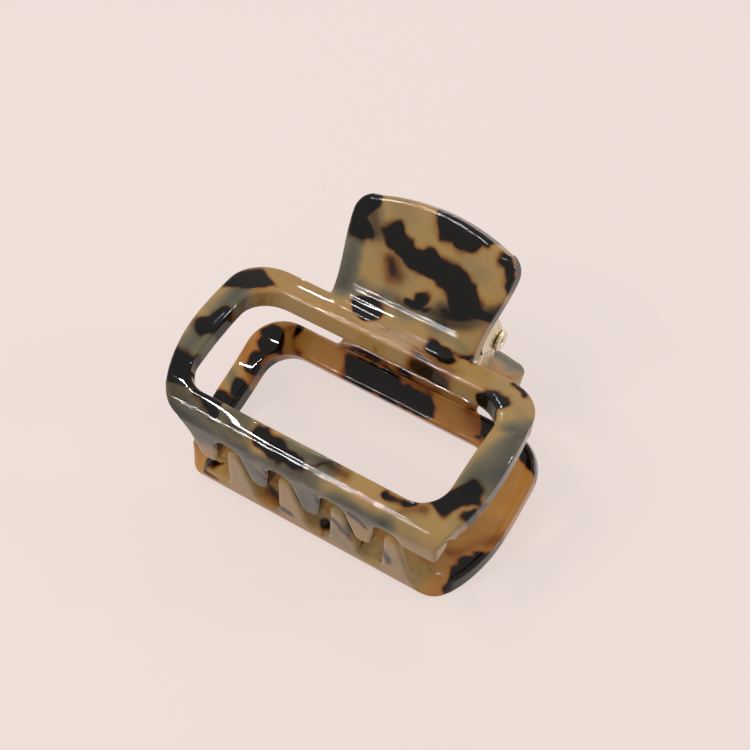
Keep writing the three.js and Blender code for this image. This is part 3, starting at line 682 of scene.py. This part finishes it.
# ---- hinge ----
GAP, LEAF, LEAF_START, LEAF_END, EAR_OUTER, EAR_STEP = 0.3, 0.8, -2.2, 7.5, 14.4, 1.2
EYE, BORE, PIN, PIN_BORE, PIN_HEAD = 2.1, 1.2, 1.1, 0.65, 2.1
RIVET_X, RIVET_ALONG, RIVET_HEAD = 8.5, 3.6, 2.0
COIL, WIRE, TURNS, COIL_PITCH = 2.0, 0.45, 8, 1.25


def ear_outline():
    """An ear from the side, (y, z): from the leaf to the round eye."""
    root, tip = tab_point(LEAF_START, SHEET + GAP + LEAF / 2), tab_point(LEAF_END, SHEET + GAP + LEAF / 2)
    angles = []
    for (y, z), turn in ((root, 1), (tip, -1)):
        reach = math.hypot(y - AXIS_Y, z)
        angles.append(math.degrees(math.atan2(z, y - AXIS_Y) + turn * math.acos(EYE / reach)))
    return [tip, root] + arc(AXIS_Y, 0, EYE, EYE, angles[0], angles[1] + 360, 40)


EAR = Flat(ear_outline(), 0.1, 2.5)


def leaf_distance(p):
    x, y, z = p[..., 0], p[..., 1], p[..., 2]
    ts, td = sheet_coords(TAB_ROOT, 1, TAB_RISE, TAB_END, TAB_ARCH, y, z)
    inner = -EAR_OUTER + EAR_STEP
    across = np.abs(td - SHEET - GAP - LEAF / 2) - LEAF / 2
    along = np.abs(ts - (LEAF_START + LEAF_END) / 2) - (LEAF_END - LEAF_START) / 2
    wide = np.maximum(inner - x, x - EAR_OUTER)
    plate = meet(across, np.maximum(along, wide), 0.2)
    for middle in (EAR_OUTER - LEAF / 2, inner + LEAF / 2):
        eye = np.maximum(EAR(y, z), BORE - np.hypot(y - AXIS_Y, z))
        plate = join(plate, meet(np.abs(x - middle) - LEAF / 2, eye, 0.2), 0.3)
    return plate


def lathe(name, profile, frame_at, count=48):
    """Revolved profile of (radius, height); frame_at gives origin, axis and two cross directions."""
    origin, axis, u, v = (np.array(q, float) for q in frame_at)
    points, faces = [], []
    for r, h in profile:
        for k in range(count):
            a = 2 * math.pi * k / count
            points.append(origin + axis * h + (u * math.cos(a) + v * math.sin(a)) * r)
    rows = len(profile)
    for i in range(rows):
        j = (i + 1) % rows
        for k in range(count):
            m = (k + 1) % count
            faces.append((i * count + k, i * count + m, j * count + m, j * count + k))
    obj = mesh_object(name, to_row(points), faces)
    fix_normals(obj)
    return obj


def fix_normals(obj):
    bm = bmesh.new()
    bm.from_mesh(obj.data)
    bmesh.ops.remove_doubles(bm, verts=bm.verts, dist=1e-8)
    bmesh.ops.recalc_face_normals(bm, faces=bm.faces)
    bm.to_mesh(obj.data)
    bm.free()


def rounded(r, h, corner, a, b, n=5):
    return arc(r, h, corner, corner, a, b, n)


def pin_profile():
    """Hollow pin, its ends rolled over outside the ears."""
    shank, end, lip = EAR_OUTER + GAP * 0.5, EAR_OUTER + GAP + 0.5, 0.22
    right = [(PIN, shank - 0.3), (PIN + 0.05, shank)] + rounded(PIN_HEAD - lip, shank + lip, lip, -90, 0)
    right += rounded(PIN_HEAD - lip, end - lip, lip, 0, 90) + rounded(PIN_BORE + lip, end - lip, lip, 90, 180)
    left = [(r, -h) for r, h in reversed(right)]
    return [(PIN, 0)] + right + [(PIN_BORE, 0)] + left


def rivet_profile():
    under = GAP + LEAF + 0.02
    dome = [(RIVET_HEAD * math.cos(math.radians(a)), under + 0.15 + 0.8 * math.sin(math.radians(a)))
            for a in range(0, 90, 10)]
    shank, depth, axis = 1.1, -2.4, 0.002
    stem = [(axis, depth), (shank, depth), (shank, under), (RIVET_HEAD - 0.1, under)]
    return stem + dome + [(axis, under + 0.95)]


def spring_path():
    """Middle line of the wire: a leg on the lower leaf, the coil round the pin, a leg on the upper leaf."""
    lift = SHEET + 2 * GAP + LEAF + WIRE
    foot, tip = np.array(tab_point(5.5, lift)), np.array(tab_point(10.5, lift))
    reach = math.hypot(foot[0] - AXIS_Y, foot[1])
    start = math.atan2(foot[1], foot[0] - AXIS_Y) - math.acos(COIL / reach)
    turns = TURNS + start / math.pi
    half = COIL_PITCH * turns / 2
    coil = []
    steps = int(turns * 36)
    for k in range(steps + 1):
        a = -start + 2 * math.pi * turns * k / steps
        coil.append((-half + 2 * half * k / steps, AXIS_Y + COIL * math.cos(a), COIL * math.sin(a)))
    end, foot3, tip3 = np.array(coil[-1]), np.array([half, *foot]), np.array([half, *tip])
    leg = [end + (foot3 - end) * k / 16 for k in range(1, 15)]
    leg += bezier([leg[-1], foot3, foot3 + (tip3 - foot3) * 0.3], 8)
    leg += [foot3 + (tip3 - foot3) * (0.3 + 0.7 * k / 8) for k in range(1, 9)]
    other = [np.array([-q[0], q[1], -q[2]]) for q in leg]
    return np.array(other[::-1] + coil + leg, float)


def tube(name, path, radius, count=14):
    """Round wire along a path, its ends domed."""
    tangent = np.gradient(path, axis=0)
    tangent /= np.linalg.norm(tangent, axis=1)[:, None]
    side = np.cross(tangent[0], [0.3, 0.2, 1.0])
    points, faces = [], []
    rings = [(0, -0.95, 0.3), (0, -0.7, 0.7)] + [(i, 0.0, 1.0) for i in range(len(path))]
    rings += [(len(path) - 1, 0.7, 0.7), (len(path) - 1, 0.95, 0.3)]
    for i, ahead, wide in rings:
        side = side - tangent[i] * (side @ tangent[i])
        side /= np.linalg.norm(side)
        up = np.cross(tangent[i], side)
        for k in range(count):
            a = 2 * math.pi * k / count
            around = side * math.cos(a) + up * math.sin(a)
            points.append(path[i] + radius * (tangent[i] * ahead + wide * around))
    for i in range(len(rings) - 1):
        for k in range(count):
            m = (k + 1) % count
            faces.append((i * count + k, i * count + m, (i + 1) * count + m, (i + 1) * count + k))
    faces.append(tuple(range(count))[::-1])
    last = (len(rings) - 1) * count
    faces.append(tuple(last + k for k in range(count)))
    obj = mesh_object(name, to_row(points), faces)
    fix_normals(obj)
    return obj


def out_of_tab(x, turned):
    """Where a rivet stands: origin on the tab's inner face, axis square out of it, two cross directions."""
    y, z = tab_point(RIVET_ALONG, SHEET)
    y1, z1 = tab_point(RIVET_ALONG, SHEET + 1)
    axis = np.array([0, y1 - y, z1 - z])
    sign = np.array([-1, 1, -1]) if turned else np.ones(3)
    u, v = np.array([1.0, 0, 0]), np.cross(axis, [1.0, 0, 0])
    return [q * sign for q in (np.array([x, y, z]), axis, u, v)]


for side, turned in (("upper", False), ("lower", True)):
    low, high = np.array([-14.6, 3.0, -2.6]), np.array([14.8, 14.6, 12.0])
    points, quads = surface_nets(leaf_distance, low, high, 0.2)
    points = settle(points, leaf_distance)
    if turned:
        points = points * np.array([-1, 1, -1])
    leaf = dress(mesh_object(f"{side}_leaf_plate", to_row(points), quads), GOLD)
    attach(leaf, f"{side}_half")
    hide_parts(f"{side}_hinge_leaf")
    for letter, x in (("a", -RIVET_X), ("b", RIVET_X)):
        rivet = lathe(f"{side}_rivet_head_{letter}", rivet_profile(), out_of_tab(x, turned))
        dress(rivet, GOLD)
        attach(rivet, f"{side}_half")
        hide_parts(f"{side}_rivet_{letter}")

coil_path = spring_path()
spring = dress(tube("spring_wire", coil_path, WIRE), STEEL)
to_row([[coil_path[0][0] + 0.7, AXIS_Y, 0]])[0]
to_row([[coil_path[-1][0] - 0.7, AXIS_Y, 0]])[0]
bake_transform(spring)
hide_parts("torsion_spring")
pin = lathe("pin_tube", pin_profile(), ([0, AXIS_Y, 0], [1, 0, 0], [0, 1, 0], [0, 0, 1]))
dress(pin, GOLD)
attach(pin, "lower_half")
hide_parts("hinge_pin")


# ---- stage ----
def stage():
    size = 1.5
    floor = mesh_object("floor", [(-size, -size, 0), (size, -size, 0), (size, size, 0), (-size, size, 0)],
                        [(0, 1, 2, 3)], smooth=False)
    m, nodes, links, shader = material("backdrop")
    shader.inputs["Base Color"].default_value = (0.10, 0.087, 0.081, 1)
    shader.inputs["Emission Color"].default_value = (0.855, 0.737, 0.694, 1)
    shader.inputs["Emission Strength"].default_value = 0.80
    shader.inputs["Roughness"].default_value = 0.9
    shader.inputs["Specular IOR Level"].default_value = 0.1
    floor.data.materials.append(m)
    world = bpy.data.worlds.new("studio")
    world.use_nodes = True
    world.node_tree.nodes["Background"].inputs["Color"].default_value = (1, 1, 1, 1)
    world.node_tree.nodes["Background"].inputs["Strength"].default_value = 0.74
    bpy.context.scene.world = world
    bpy.context.scene.view_settings.view_transform = "Standard"


LAMP_RADIANCE = 480
# angle over the clip, number of lamps, length and width of each, spacing
LAMP_ROWS = (
    (-83, 15, 0.006, 0.0020, 0.024), (-60, 1, 0.09, 0.0012, 0), (-42, 1, 0.09, 0.0012, 0),
    (-22, 1, 0.09, 0.0012, 0), (18, 1, 0.22, 0.0026, 0), (25, 9, 0.006, 0.0020, 0.015),
    (39, 1, 0.22, 0.0030, 0), (44, 12, 0.008, 0.0030, 0.018),
)


def lamp(name, at, toward, size, turn=0):
    data = bpy.data.lights.new(name, "AREA")
    data.shape = "RECTANGLE"
    data.size, data.size_y = size
    data.energy = 4 * LAMP_RADIANCE * size[0] * size[1]
    obj = bpy.data.objects.new(name, data)
    bpy.context.scene.collection.objects.link(obj)
    obj.location = at
    facing = (Vector(toward) - Vector(at)).to_track_quat("-Z", "Y").to_matrix()
    obj.rotation_euler = (facing @ Matrix.Rotation(math.radians(turn), 3, "Z")).to_euler()


def lamp_rows():
    """Thin strips and rows of small lamps, which the polished edges mirror as fine bright lines."""
    centre = Vector(to_row([[0, -8, 8]])[0])
    for rise, count, length, width, step in LAMP_ROWS:
        a = math.radians(rise)
        away = Vector((-0.34, 0.94 * math.sin(-a), 0.94 * math.cos(a))).normalized()
        for k in range(count):
            at = centre + away * 0.62 + Vector(((k - (count - 1) / 2) * step, 0, 0))
            lamp(f"lamp_{rise}_{k}", at, at - away, (length, width))
    at = centre + Vector((0.48, 0.30, 0.22))
    lamp("lamp_side", at, centre, (0.42, 0.002), turn=90)


stage()
lamp_rows()
